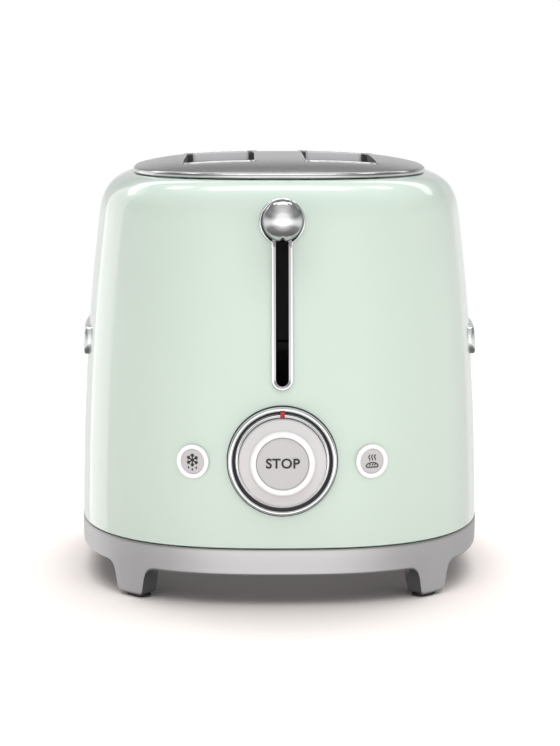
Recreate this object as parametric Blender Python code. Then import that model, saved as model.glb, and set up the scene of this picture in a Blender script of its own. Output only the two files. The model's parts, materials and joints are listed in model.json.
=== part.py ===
"""Two-slot pop-up toaster with a painted shell, a domed steel top and a steel base.

Metres, +Z up. The control end faces -Y. The origin is the middle of the footprint on the worktop.
Everything is modelled round the middle of the body, and one empty moves it all by BODY_SHIFT.
"""
import math

import bmesh
import bpy
from mathutils import Matrix, Vector

# Plan of the body: a superellipse
HALF_WIDTH = 0.0975
HALF_LENGTH = 0.146
CORNER_POWER = 2.65
END_LEAN = 1.216          # the two ends lean in this much more than the sides do
SEGMENTS = 48
BODY_SHIFT = 0.0072       # the lever ball stands out further than the gland does
GAP = 0.0003

# Upright profile of the body, as (inset from the rim, height) control points
RIM_Z = 0.0274
WALL_CURVE = ((0.0002, RIM_Z), (0.0005, 0.097), (0.0050, 0.142), (0.0092, 0.177))
SHOULDER_CURVE = ((0.0092, 0.177), (0.0103, 0.1865), (0.0155, 0.1932), (0.0255, 0.1944))
WALL_STEPS = 5
SHOULDER_STEPS = 4
SHELL_THICKNESS = 0.0012
SHELL_OPENING_INSET = 0.034

# Top plate and bread slots
PLATE_INSET = 0.0255
PLATE_BOTTOM_Z = 0.1949
PLATE_EDGE_Z = 0.1970
DOME_RISE = 0.0055
DOME_POWER = 4.0          # flat in the middle, steeper towards the edge
PLATE_THICKNESS = 0.0014
SLOT_X = 0.0294
SLOT_HALF_WIDTH = 0.0172
SLOT_HALF_LENGTH = 0.0680
SLOT_CORNER = 0.0050

# Base skirt and feet
SKIRT_TOP_Z = 0.0270
SKIRT_BOTTOM_Z = 0.0150
SKIRT_THICKNESS = 0.0016
FLANGE_INSET = 0.0240
FOOT_X = 0.0722
FOOT_BOTTOM_Z = 0.0015
SCREW_X = 0.0560
SCREW_Y = 0.1050
FLOOR_Z = 0.0170

# Rear: crumb tray and the gland of the mains lead
TRAY_BOTTOM_Z = 0.0195
TRAY_TOP_Z = 0.0260
TRAY_HALF_WIDTH = 0.0560
TRAY_DOOR_HALF = 0.0580
TRAY_REAR_Y = 0.1280
GLAND_X = 0.0
GLAND_Z = 0.0480

# Lever and carriage
LEVER_REST_Z = 0.1779
BALL_RADIUS = 0.0095
BALL_Y = -0.1550
ARM_HALF_HEIGHT = 0.0030
BEZEL_RING_Z = 0.1763
BEZEL_RING_RADIUS = 0.0107
BEZEL_HALF_WIDTH = 0.0051
BEZEL_BOTTOM_Z = 0.0997
SLIT_HALF_WIDTH = 0.00275
SLIT_BOTTOM_Z = 0.1020
SLIT_TOP_Z = 0.1835
BEZEL_THICKNESS = 0.0012
SHELF_TOP_Z = 0.1260
SHELF_HALF_WIDTH = 0.0060

# Dial and buttons
DIAL_Z = 0.0678
DIAL_RADIUS = 0.0250
KNOB_RADIUS = 0.0200
BUTTON_X = 0.0407
BUTTON_Z = 0.0670
BUTTON_RADIUS = 0.0056
BUTTON_RING_RADIUS = 0.0078

# Toasting chamber
CHAMBER_HALF_LENGTH = 0.0750
CHAMBER_HALF_WIDTH = 0.0620
CHAMBER_BOTTOM_Z = 0.0340
CHAMBER_TOP_Z = 0.1860
SHEET = 0.0010
ROD_X = 0.0120
ROD_Y = -0.0860
BOARD_Y = -0.1190

PAINT = (0.55, 0.76, 0.64)
STEEL = (0.62, 0.62, 0.62)
CHROME = (0.80, 0.80, 0.80)
WHITE = (0.85, 0.85, 0.85)
DARK = (0.03, 0.03, 0.03)


def clear_scene():
    for old in list(bpy.data.objects):
        bpy.data.objects.remove(old, do_unlink=True)


def material(name, colour, roughness, metallic):
    found = bpy.data.materials.new(name)
    found.use_nodes = True
    shader = found.node_tree.nodes["Principled BSDF"]
    shader.inputs["Base Color"].default_value = (*colour, 1.0)
    shader.inputs["Roughness"].default_value = roughness
    shader.inputs["Metallic"].default_value = metallic
    return found


class Kit:
    """Makes named objects under one parent empty."""

    def __init__(self):
        self.base = bpy.data.objects.new("assembly", None)
        self.base.location = (0.0, BODY_SHIFT, 0.0)
        bpy.context.collection.objects.link(self.base)
        self.looks = {
            "paint": (PAINT, 0.15, 0.0),
            "steel": (STEEL, 0.35, 1.0),
            "chrome": (CHROME, 0.05, 1.0),
            "white": (WHITE, 0.25, 0.0),
            "rubber": (DARK, 0.80, 0.0),
            "dark": (DARK, 0.45, 0.0),
            "red": ((0.60, 0.02, 0.03), 0.35, 0.0),
            "mica": ((0.52, 0.46, 0.36), 0.60, 0.0),
            "sheet": ((0.55, 0.55, 0.56), 0.30, 1.0),
            "board": ((0.05, 0.22, 0.10), 0.50, 0.0),
        }

    def add(self, name, mesh, look, matrix=None, smooth=True):
        node = bpy.data.objects.new(name, mesh)
        bpy.context.collection.objects.link(node)
        node.parent = self.base
        if matrix is not None:
            node.matrix_local = matrix
        if look:
            colour, roughness, metallic = self.looks[look]
            mesh.materials.append(material(name + "_" + look, colour, roughness, metallic))
        if smooth:
            mesh.shade_smooth()
            mesh.set_sharp_from_angle(angle=math.radians(35.0))
        return node

    def cutter(self, name, mesh, matrix=None):
        node = self.add(name, mesh, None, matrix, smooth=False)
        node.hide_render = True
        node.display_type = "WIRE"
        return node


def combine(node, other, operation="DIFFERENCE"):
    step = node.modifiers.new(operation.lower() + "_" + other.name, "BOOLEAN")
    step.operation = operation
    step.solver = "EXACT"
    step.object = other


def mesh_from(name, points, faces):
    mesh = bpy.data.meshes.new(name)
    build = bmesh.new()
    corners = [build.verts.new(point) for point in points]
    for face in faces:
        build.faces.new([corners[index] for index in face])
    bmesh.ops.recalc_face_normals(build, faces=build.faces)
    build.to_mesh(mesh)
    build.free()
    return mesh


def loft(name, rings, wrap=False):
    """Closed solid through rings of equal count: capped at both ends, or wrapped into a tube."""
    count = len(rings[0])
    points = [point for ring in rings for point in ring]
    faces = []
    last = len(rings) if wrap else len(rings) - 1
    for level in range(last):
        low = level * count
        high = ((level + 1) % len(rings)) * count
        for step in range(count):
            after = (step + 1) % count
            faces.append((low + step, low + after, high + after, high + step))
    if not wrap:
        faces.append(tuple(range(count)))
        faces.append(tuple(range(len(points) - count, len(points))))
    return mesh_from(name, points, faces)


def turned(name, profile, count=32, wrap=False):
    """Solid turned round local Z from (radius, height) pairs, all with a radius above zero."""
    rings = []
    for radius, height in profile:
        ring = []
        for step in range(count):
            angle = 2.0 * math.pi * step / count
            ring.append((radius * math.cos(angle), radius * math.sin(angle), height))
        rings.append(ring)
    return loft(name, rings, wrap)


def box(name, low, high):
    (ax, ay, az), (bx, by, bz) = low, high
    lower = [(ax, ay, az), (bx, ay, az), (bx, by, az), (ax, by, az)]
    upper = [(x, y, bz) for x, y, _ in lower]
    return loft(name, [lower, upper])


def extruded(name, outline, start, end, along):
    """Prism of a closed 2D outline. along is the index of the axis that it runs along."""
    def lift(pair, depth):
        values = list(pair)
        values.insert(along, depth)
        return tuple(values)
    return loft(name, [[lift(pair, start) for pair in outline], [lift(pair, end) for pair in outline]])


def arc(centre, radius, start, end, steps):
    """Points of an arc in degrees, both ends included."""
    found = []
    for step in range(steps + 1):
        angle = math.radians(start + (end - start) * step / steps)
        found.append((centre[0] + radius * math.cos(angle), centre[1] + radius * math.sin(angle)))
    return found


def rounded_rectangle(half_x, half_y, corner, steps=4):
    found = []
    for turn, (side_x, side_y) in enumerate(((1, 1), (-1, 1), (-1, -1), (1, -1))):
        centre = (side_x * (half_x - corner), side_y * (half_y - corner))
        found += arc(centre, corner, 90.0 * turn, 90.0 * turn + 90.0, steps)
    return found


def subdivided(loop, longest):
    """The closed loop with its long straight runs split into equal steps."""
    found = []
    for index, start in enumerate(loop):
        end = loop[(index + 1) % len(loop)]
        steps = max(1, math.ceil(math.dist(start, end) / longest - 1e-6))
        for step in range(steps):
            share = step / steps
            found.append((start[0] + (end[0] - start[0]) * share, start[1] + (end[1] - start[1]) * share))
    return found


def bezier(curve, share):
    rest = 1.0 - share
    weights = (rest ** 3, 3 * rest ** 2 * share, 3 * rest * share ** 2, share ** 3)
    return tuple(sum(w * p[axis] for w, p in zip(weights, curve)) for axis in range(2))


def superellipse(half_x, half_y, angle, power=CORNER_POWER):
    cosine, sine = math.cos(angle), math.sin(angle)
    x = half_x * math.copysign(abs(cosine) ** (2.0 / power), cosine)
    y = half_y * math.copysign(abs(sine) ** (2.0 / power), sine)
    return x, y


def plan_ring(inset, height, lean=END_LEAN):
    half_x, half_y = HALF_WIDTH - inset, HALF_LENGTH - lean * inset
    ring = []
    for step in range(SEGMENTS):
        x, y = superellipse(half_x, half_y, 2.0 * math.pi * step / SEGMENTS)
        ring.append((x, y, height))
    return ring


def body_profile():
    wall = [bezier(WALL_CURVE, step / WALL_STEPS) for step in range(WALL_STEPS + 1)]
    return wall + [bezier(SHOULDER_CURVE, step / SHOULDER_STEPS) for step in range(1, SHOULDER_STEPS + 1)]


def inset_at(height):
    profile = body_profile()
    for (inset_a, z_a), (inset_b, z_b) in zip(profile, profile[1:]):
        if height <= z_b:
            return inset_a + (inset_b - inset_a) * (height - z_a) / (z_b - z_a)
    return profile[-1][0]


def end_distance(x, height):
    """How far the end wall stands from the middle at this x and height."""
    inset = inset_at(height)
    share = 1.0 - (abs(x) / (HALF_WIDTH - inset)) ** CORNER_POWER
    return (HALF_LENGTH - END_LEAN * inset) * share ** (1.0 / CORNER_POWER)


def wall_frame(x, height):
    """Matrix at a point of the front wall, local +Z along the outward normal, local +Y upright."""
    step = 0.0005
    slope = (end_distance(x + step, height) - end_distance(x - step, height)) / (2.0 * step)
    outward = Vector((-slope, -1.0, 0.0)).normalized()
    up = Vector((0.0, 0.0, 1.0))
    across = up.cross(outward)
    turn = Matrix((across, up, outward)).transposed().to_4x4()
    return Matrix.Translation((x, -end_distance(x, height), height)) @ turn


def offset_profile(profile, depth):
    """The profile moved inwards by depth, square to itself."""
    found = []
    for index, (inset, height) in enumerate(profile):
        before = profile[max(index - 1, 0)]
        after = profile[min(index + 1, len(profile) - 1)]
        run, rise = after[0] - before[0], after[1] - before[1]
        length = math.hypot(run, rise)
        found.append((inset + depth * rise / length, height - depth * run / length))
    return found


def body_shell(kit):
    outer = body_profile()
    inner = offset_profile(outer, SHELL_THICKNESS)
    flange_z = outer[-1][1] - 0.0002
    section = outer + [(SHELL_OPENING_INSET, flange_z)]
    section += [(SHELL_OPENING_INSET, flange_z - SHELL_THICKNESS)] + inner[::-1]
    section[-1] = (section[-1][0], RIM_Z)
    rings = [plan_ring(inset, height) for inset, height in section]
    shell = kit.add("body_shell", loft("body_shell", rings, wrap=True), "paint")
    slit = box("cut_lever", (-0.0032, -0.160, SLIT_BOTTOM_Z - 0.001), (0.0032, -0.110, SLIT_TOP_Z + 0.0005))
    combine(shell, kit.cutter("cut_lever", slit))
    facing = Matrix.Rotation(math.radians(90.0), 4, "X")
    hole = turned("cut_dial", [(0.0055, 0.120), (0.0055, 0.160)], 24)
    combine(shell, kit.cutter("cut_dial", hole, Matrix.Translation((0.0, 0.0, DIAL_Z)) @ facing))
    for side, label in ((-1, "left"), (1, "right")):
        radius = BUTTON_RADIUS + 0.0004
        hole = turned("cut_button_" + label, [(radius, -0.010), (radius, 0.010)], 24)
        combine(shell, kit.cutter("cut_button_" + label, hole, wall_frame(side * BUTTON_X, BUTTON_Z)))
    hole = turned("cut_gland", [(0.0064, 0.120), (0.0064, 0.160)], 24)
    backing = Matrix.Rotation(math.radians(-90.0), 4, "X")
    combine(shell, kit.cutter("cut_gland", hole, Matrix.Translation((GLAND_X, 0.0, GLAND_Z)) @ backing))


def dome_z(x, y):
    """Height of the top plate over a point of the plan."""
    half_x, half_y = HALF_WIDTH - PLATE_INSET, HALF_LENGTH - END_LEAN * PLATE_INSET
    reach = (abs(x / half_x) ** CORNER_POWER + abs(y / half_y) ** CORNER_POWER) ** (1.0 / CORNER_POWER)
    return PLATE_EDGE_Z + DOME_RISE * (1.0 - reach ** DOME_POWER)


def plate_ring(share, drop):
    half_x, half_y = HALF_WIDTH - PLATE_INSET, HALF_LENGTH - END_LEAN * PLATE_INSET
    ring = []
    for step in range(SEGMENTS):
        x, y = superellipse(half_x * share, half_y * share, 2.0 * math.pi * step / SEGMENTS)
        ring.append((x, y, dome_z(x, y) - drop))
    return ring


def top_plate(kit):
    shares = (0.15, 0.45, 0.65, 0.80, 0.92)
    lower_lip = [(x, y, PLATE_BOTTOM_Z) for x, y, _ in plate_ring(0.995, 0.0)]
    inner_lip = [(x, y, PLATE_BOTTOM_Z) for x, y, _ in plate_ring(0.975, 0.0)]
    rings = [plate_ring(share, 0.0) for share in shares]
    rings += [plate_ring(0.995, 0.0003), plate_ring(1.0, 0.0008), lower_lip, inner_lip]
    rings += [plate_ring(share, PLATE_THICKNESS) for share in shares[::-1]]
    plate = kit.add("top_plate", loft("top_plate", rings), "steel")
    for side, label in ((-1, "left"), (1, "right")):
        outline = rounded_rectangle(SLOT_HALF_WIDTH + 0.0014, SLOT_HALF_LENGTH + 0.0014, SLOT_CORNER)
        hole = extruded("cut_slot_" + label, outline, 0.180, 0.215, 2)
        place = Matrix.Translation((side * SLOT_X, 0.0, 0.0))
        combine(plate, kit.cutter("cut_slot_" + label, hole, place))


def slot_collars(kit):
    """Rolled collar round each bread slot: a wall that goes down and a lip over the plate."""
    for side, label in ((-1, "left"), (1, "right")):
        def ring(grow, lift, flat=None):
            found = []
            base = subdivided(rounded_rectangle(SLOT_HALF_WIDTH, SLOT_HALF_LENGTH, SLOT_CORNER), 0.0130)
            for x, y in base:
                corner_x = math.copysign(min(abs(x), SLOT_HALF_WIDTH - SLOT_CORNER), x)
                corner_y = math.copysign(min(abs(y), SLOT_HALF_LENGTH - SLOT_CORNER), y)
                away = Vector((x - corner_x, y - corner_y)).normalized() * grow
                x, y = x + away.x, y + away.y
                found.append((x, y, flat or dome_z(x + side * SLOT_X, y) + lift))
            return found
        rings = [ring(0.0, 0.0, 0.1880), ring(0.0, 0.0004), ring(0.0004, 0.0012), ring(0.0014, 0.0014)]
        rings += [ring(0.0023, 0.0011), ring(0.0026, 0.0005), ring(0.0010, 0.0005), ring(0.0010, 0.0, 0.1880)]
        place = Matrix.Translation((side * SLOT_X, 0.0, 0.0))
        kit.add("slot_collar_" + label, loft("slot_collar_" + label, rings, wrap=True), "chrome", place)


def foot_frame(side, end):
    """Middle of a foot on the skirt, with local +X along the outline and local +Y outwards."""
    cosine = (FOOT_X / HALF_WIDTH) ** (CORNER_POWER / 2.0)
    x, y = superellipse(HALF_WIDTH, HALF_LENGTH, math.acos(cosine))
    slope_x = (x / HALF_WIDTH) ** (CORNER_POWER - 1.0) / HALF_WIDTH
    slope_y = (y / HALF_LENGTH) ** (CORNER_POWER - 1.0) / HALF_LENGTH
    outward = Vector((side * slope_x, end * slope_y, 0.0)).normalized()
    along = Vector((outward.y, -outward.x, 0.0))
    turn = Matrix((along, outward, Vector((0.0, 0.0, 1.0)))).transposed().to_4x4()
    return Matrix.Translation((side * x, end * y, 0.0)) @ turn


def foot_ring(half_along, half_out, inset, height, count=16):
    ring = []
    for step in range(count):
        x, y = superellipse(half_along, half_out, 2.0 * math.pi * step / count, 3.0)
        ring.append((x, y - half_out - inset, height))
    return ring


FOOT_SECTION = (
    (0.0090, 0.0046, 0.0024, FOOT_BOTTOM_Z),
    (0.0098, 0.0052, 0.0016, FOOT_BOTTOM_Z + 0.0010),
    (0.0112, 0.0058, 0.0010, 0.0100),
    (0.0134, 0.0066, 0.0009, 0.0140),
    (0.0166, 0.0076, 0.0010, SKIRT_BOTTOM_Z + 0.0008),
)
CORNERS = (("front_left", -1, -1), ("front_right", 1, -1), ("rear_left", -1, 1), ("rear_right", 1, 1))


def base_skirt(kit):
    curve = ((0.0003, 0.0185), (0.0004, 0.0165), (0.0010, SKIRT_BOTTOM_Z), (0.0030, SKIRT_BOTTOM_Z))
    section = [(0.0006, SKIRT_TOP_Z), (0.0, SKIRT_TOP_Z - 0.0006)]
    section += [bezier(curve, step / 3) for step in range(4)]
    section += [(FLANGE_INSET, SKIRT_BOTTOM_Z), (FLANGE_INSET, SKIRT_BOTTOM_Z + SKIRT_THICKNESS)]
    section += [(0.0030, SKIRT_BOTTOM_Z + SKIRT_THICKNESS), (0.0018, 0.0185), (0.0018, SKIRT_TOP_Z)]
    rings = [plan_ring(inset, height) for inset, height in section]
    skirt = kit.add("base_skirt", loft("base_skirt", rings, wrap=True), "steel")
    for label, side, end in CORNERS:
        name = "foot_form_" + label
        rings = [foot_ring(*values) for values in FOOT_SECTION]
        combine(skirt, kit.cutter(name, loft(name, rings), foot_frame(side, end)), "UNION")
    window = box("cut_tray", (-TRAY_DOOR_HALF, 0.090, TRAY_BOTTOM_Z - 0.0010), (TRAY_DOOR_HALF, 0.160, 0.040))
    combine(skirt, kit.cutter("cut_tray", window))
    floor_rings = [plan_ring(0.0050, FLOOR_Z), plan_ring(0.0050, FLOOR_Z + SHEET)]
    plate = kit.add("bottom_plate", loft("bottom_plate", floor_rings), "sheet")
    for label, side, end in CORNERS:
        hole = turned("cut_screw_" + label, [(0.0019, 0.010), (0.0019, 0.022)], 12)
        place = Matrix.Translation((side * SCREW_X, end * SCREW_Y, 0.0))
        drill = kit.cutter("cut_screw_" + label, hole, place)
        combine(skirt, drill)
        combine(plate, drill)
        profile = [(0.0022, 0.0126), (0.0032, 0.0133), (0.0032, 0.0147), (0.0015, 0.0147), (0.0015, 0.0190)]
        kit.add("base_screw_" + label, turned("base_screw_" + label, profile, 16), "sheet", place)
        rings = [foot_ring(0.0066, 0.0036, 0.0033, 0.0), foot_ring(0.0070, 0.0040, 0.0029, 0.0012)]
        kit.add("foot_pad_" + label, loft("foot_pad_" + label, rings), "rubber", foot_frame(side, end))


def keyhole_loops():
    """Outer outline of the lever bezel and the slit inside it, as loops with matching points."""
    side_steps, bottom_steps, ring_steps, flank_steps = 7, 8, 18, 5
    foot_z = BEZEL_BOTTOM_Z + BEZEL_HALF_WIDTH
    neck = math.degrees(math.asin(BEZEL_HALF_WIDTH / BEZEL_RING_RADIUS))
    neck_z = BEZEL_RING_Z - BEZEL_RING_RADIUS * math.cos(math.radians(neck))
    low_z, high_z = SLIT_BOTTOM_Z + SLIT_HALF_WIDTH, SLIT_TOP_Z - SLIT_HALF_WIDTH
    shares = [step / side_steps for step in range(1, side_steps)]
    outer_rise = [foot_z + (neck_z - foot_z) * share for share in shares]
    inner_rise = [low_z + (neck_z - low_z) * share for share in shares]
    flank = [neck_z + (high_z - neck_z) * step / flank_steps for step in range(flank_steps)]
    outer = arc((0.0, foot_z), BEZEL_HALF_WIDTH, 180.0, 360.0, bottom_steps)
    outer += [(BEZEL_HALF_WIDTH, z) for z in outer_rise]
    outer += arc((0.0, BEZEL_RING_Z), BEZEL_RING_RADIUS, -90.0 + neck, 270.0 - neck, ring_steps)
    outer += [(-BEZEL_HALF_WIDTH, z) for z in outer_rise[::-1]]
    inner = arc((0.0, low_z), SLIT_HALF_WIDTH, 180.0, 360.0, bottom_steps)
    inner += [(SLIT_HALF_WIDTH, z) for z in inner_rise + flank]
    inner += arc((0.0, high_z), SLIT_HALF_WIDTH, 0.0, 180.0, ring_steps - 2 * flank_steps)
    inner += [(-SLIT_HALF_WIDTH, z) for z in flank[::-1] + inner_rise[::-1]]
    return outer, inner


def lever_bezel(kit):
    outer, inner = keyhole_loops()

    def stand_off(loop, distance):
        return [(x, -end_distance(x, z) - distance, z) for x, z in loop]
    middle = [((a[0] + b[0]) / 2.0, (a[1] + b[1]) / 2.0) for a, b in zip(outer, inner)]
    seat = 0.0005
    rings = [stand_off(outer, seat), stand_off(outer, 0.0010), stand_off(middle, seat + BEZEL_THICKNESS)]
    rings += [stand_off(inner, 0.0010), stand_off(inner, seat)]
    kit.add("lever_bezel", loft("lever_bezel", rings, wrap=True), "chrome")


def dial_bezel(kit):
    """Ring round the dial. Its front is flat and its back follows the curved wall."""
    face_y = -end_distance(0.0, DIAL_Z)
    profile = [(DIAL_RADIUS, None), (DIAL_RADIUS, 0.0016), (0.0244, 0.0025), (0.0234, 0.0026)]
    profile += [(0.0229, 0.0020), (0.0228, 0.0009), (0.0222, 0.0009), (0.0222, None)]
    rings = []
    for radius, stand in profile:
        ring = []
        for step in range(36):
            angle = 2.0 * math.pi * step / 36
            x, z = radius * math.cos(angle), DIAL_Z + radius * math.sin(angle)
            y = -end_distance(x, z) - GAP if stand is None else face_y - stand
            ring.append((x, y, z))
        rings.append(ring)
    kit.add("dial_bezel", loft("dial_bezel", rings, wrap=True), "chrome")


def side_distance(y, height):
    """How far the side wall stands from the middle at this y and height."""
    inset = inset_at(height)
    share = 1.0 - (abs(y) / (HALF_LENGTH - END_LEAN * inset)) ** CORNER_POWER
    return (HALF_WIDTH - inset) * share ** (1.0 / CORNER_POWER)


SIDE_TRIM_SECTION = (
    (-1.0, 0.0006),
    (0.0, 0.0006),
    (1.0, 0.0006),
    (1.0, 0.0020),
    (0.8, 0.0026),
    (-0.8, 0.0026),
    (-1.0, 0.0020),
)


def side_trims(kit):
    """Plain raised bar in the middle of each long side, with rounded ends, that follows the wall."""
    half_y, half_z, middle_z, stations = 0.0500, 0.0070, 0.1135, 12
    for side, label in ((-1, "left"), (1, "right")):
        rings = []
        for station in range(stations + 1):
            y = -half_y * math.cos(math.pi * station / stations)
            run = max(0.0, abs(y) - (half_y - half_z)) / half_z
            tall = half_z * math.sqrt(max(1.0 - run ** 2, 0.04))
            ring = []
            for share, stand in SIDE_TRIM_SECTION:
                z = middle_z + share * tall
                ring.append((side * (side_distance(y, z) + stand), y, z))
            rings.append(ring)
        kit.add("side_trim_" + label, loft("side_trim_" + label, rings), "chrome")


def cord_gland(kit):
    profile = [(0.0040, 0.1380), (0.0060, 0.1380), (0.0060, 0.1462), (0.0090, 0.1462), (0.0090, 0.1472)]
    profile += [(0.0080, 0.1478), (0.0066, 0.1480), (0.0060, 0.1500), (0.0040, 0.1500)]
    backing = Matrix.Rotation(math.radians(-90.0), 4, "X")
    place = Matrix.Translation((GLAND_X, 0.0, GLAND_Z)) @ backing
    kit.add("cord_gland", turned("cord_gland", profile, 20, wrap=True), "rubber", place)


def lever(kit):
    profile = []
    for step in range(11):
        angle = math.radians(7.0 + 166.0 * step / 10)
        profile.append((BALL_RADIUS * math.sin(angle), BALL_RADIUS * math.cos(angle)))
    facing = Matrix.Rotation(math.radians(90.0), 4, "X")
    place = Matrix.Translation((0.0, BALL_Y, LEVER_REST_Z)) @ facing
    kit.add("lever_knob", turned("lever_knob", profile, 20), "chrome", place)
    arm_front = BALL_Y + BALL_RADIUS + GAP
    low_z, high_z = -ARM_HALF_HEIGHT, ARM_HALF_HEIGHT
    arm = box("lever_arm", (-0.0015, arm_front, low_z), (0.0015, -0.0940, high_z))
    kit.add("lever_arm", arm, "dark", Matrix.Translation((0.0, 0.0, LEVER_REST_Z)), smooth=False)
    plate = box("carriage_plate", (-0.0160, -0.0936, 0.1180), (0.0160, -0.0924, 0.1840))
    kit.add("carriage_plate", plate, "sheet", smooth=False)
    keeper = box("latch_keeper", (-0.0080, -0.0970, 0.1136), (0.0080, -0.0905, 0.1176))
    kit.add("latch_keeper", keeper, "steel", smooth=False)


def bread_carriage(kit):
    """Crossbar in front of the chamber with one bread shelf for each slot, cut from one sheet."""
    bar_x, bar_front, bar_back, shelf_front = 0.0370, -0.0920, -0.0800, -0.0715
    neck = 0.0030
    inner_x, outer_x = SLOT_X - SHELF_HALF_WIDTH, SLOT_X + SHELF_HALF_WIDTH
    half = [(bar_x, bar_front), (bar_x, bar_back), (SLOT_X + neck, bar_back), (SLOT_X + neck, shelf_front)]
    half += [(outer_x, shelf_front), (outer_x, SLOT_HALF_LENGTH), (inner_x, SLOT_HALF_LENGTH)]
    half += [(inner_x, shelf_front), (SLOT_X - neck, shelf_front), (SLOT_X - neck, bar_back)]
    outline = half + [(-x, y) for x, y in half[::-1]]
    sheet = extruded("bread_carriage", outline, SHELF_TOP_Z - 0.0020, SHELF_TOP_Z, 2)
    carriage = kit.add("bread_carriage", sheet, "sheet", smooth=False)
    for side, label in ((-1, "left"), (1, "right")):
        place = Matrix.Translation((side * ROD_X, ROD_Y, 0.0))
        hole = turned("cut_rod_" + label, [(0.0024, 0.100), (0.0024, 0.140)], 16)
        combine(carriage, kit.cutter("cut_rod_" + label, hole, place))
        ends = [(0.0020, CHAMBER_BOTTOM_Z + GAP), (0.0020, CHAMBER_TOP_Z + 0.0007)]
        rod = turned("guide_rod_" + label, ends, 16)
        kit.add("guide_rod_" + label, rod, "chrome", place)


def return_spring(kit):
    turns, steps, sides = 8, 8, 4
    coil_radius, wire = 0.0032, 0.0005
    low_z, high_z = SHELF_TOP_Z + 0.0009, CHAMBER_TOP_Z
    rings = []
    for step in range(turns * steps + 1):
        angle = 2.0 * math.pi * step / steps
        height = low_z + (high_z - low_z) * step / (turns * steps)
        ring = []
        for side in range(sides):
            turn = 2.0 * math.pi * side / sides
            reach = coil_radius + wire * math.cos(turn)
            ring.append((reach * math.cos(angle), reach * math.sin(angle), height + wire * math.sin(turn)))
        rings.append(ring)
    place = Matrix.Translation((0.0220, ROD_Y, 0.0))
    kit.add("return_spring", loft("return_spring", rings), "steel", place)


def dial(kit):
    seat = end_distance(0.0, DIAL_Z - DIAL_RADIUS)
    facing = Matrix.Rotation(math.radians(90.0), 4, "X")
    place = Matrix.Translation((0.0, -seat, DIAL_Z)) @ facing
    knob = [(0.0027, 0.0004), (0.0196, 0.0004), (KNOB_RADIUS, 0.0010), (KNOB_RADIUS, 0.0066)]
    knob += [(0.0193, 0.0078), (0.0175, 0.0084), (0.0152, 0.0085), (0.0144, 0.0094), (0.0136, 0.0104)]
    knob += [(0.0130, 0.0106), (0.0125, 0.0103), (0.0120, 0.0094), (0.0120, 0.0048), (0.0027, 0.0048)]
    kit.add("dial_knob", turned("dial_knob", knob, 32, wrap=True), "white", place)
    collar = [(0.0203, 0.0003), (0.0219, 0.0003), (0.0219, 0.0017), (0.0216, 0.0020), (0.0206, 0.0020)]
    collar += [(0.0203, 0.0017)]
    kit.add("dial_collar", turned("dial_collar", collar, 32, wrap=True), "chrome", place)
    pointer = box("dial_pointer", (-0.00105, 0.0204, 0.0023), (0.00105, 0.0228, 0.0029))
    kit.add("dial_pointer", pointer, "red", place, smooth=False)
    shaft = [(0.0027, -0.0184), (0.0040, -0.0184), (0.0040, 0.0001), (0.0027, 0.0001)]
    kit.add("dial_shaft", turned("dial_shaft", shaft, 20, wrap=True), "dark", place)
    button = [(0.0023, -0.0224), (0.0023, 0.0070), (0.0116, 0.0070), (0.0116, 0.0093), (0.0112, 0.0097)]
    kit.add("stop_button", turned("stop_button", button, 28), "white", place)
    board = -seat - BOARD_Y + GAP
    control = [(0.0031, board), (0.0080, board), (0.0080, board + 0.0074), (0.0031, board + 0.0074)]
    kit.add("browning_control", turned("browning_control", control, 20, wrap=True), "dark", place)
    switch = turned("stop_switch", [(0.0024, board), (0.0024, board + 0.0014)], 12)
    kit.add("stop_switch", switch, "dark", place)


def function_buttons(kit):
    for side, label in ((-1, "defrost"), (1, "reheat")):
        place = wall_frame(side * BUTTON_X, BUTTON_Z)
        bore = BUTTON_RADIUS + 0.0003
        ring = [(bore, GAP), (BUTTON_RING_RADIUS, GAP), (BUTTON_RING_RADIUS, 0.0010)]
        ring += [(BUTTON_RING_RADIUS - 0.0003, 0.0015), (bore + 0.0004, 0.0015), (bore, 0.0012)]
        kit.add(label + "_bezel", turned(label + "_bezel", ring, 24, wrap=True), "white", place)
        button = [(0.0020, -0.0110), (0.0020, -0.0040), (BUTTON_RADIUS, -0.0040), (BUTTON_RADIUS, 0.0008)]
        button += [(BUTTON_RADIUS - 0.0004, 0.0011)]
        kit.add(label + "_button", turned(label + "_button", button, 20), "white", place)
        switch = turned(label + "_switch", [(0.0040, -0.0160), (0.0040, -0.0128)], 16)
        kit.add(label + "_switch", switch, "dark", place)


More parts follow.
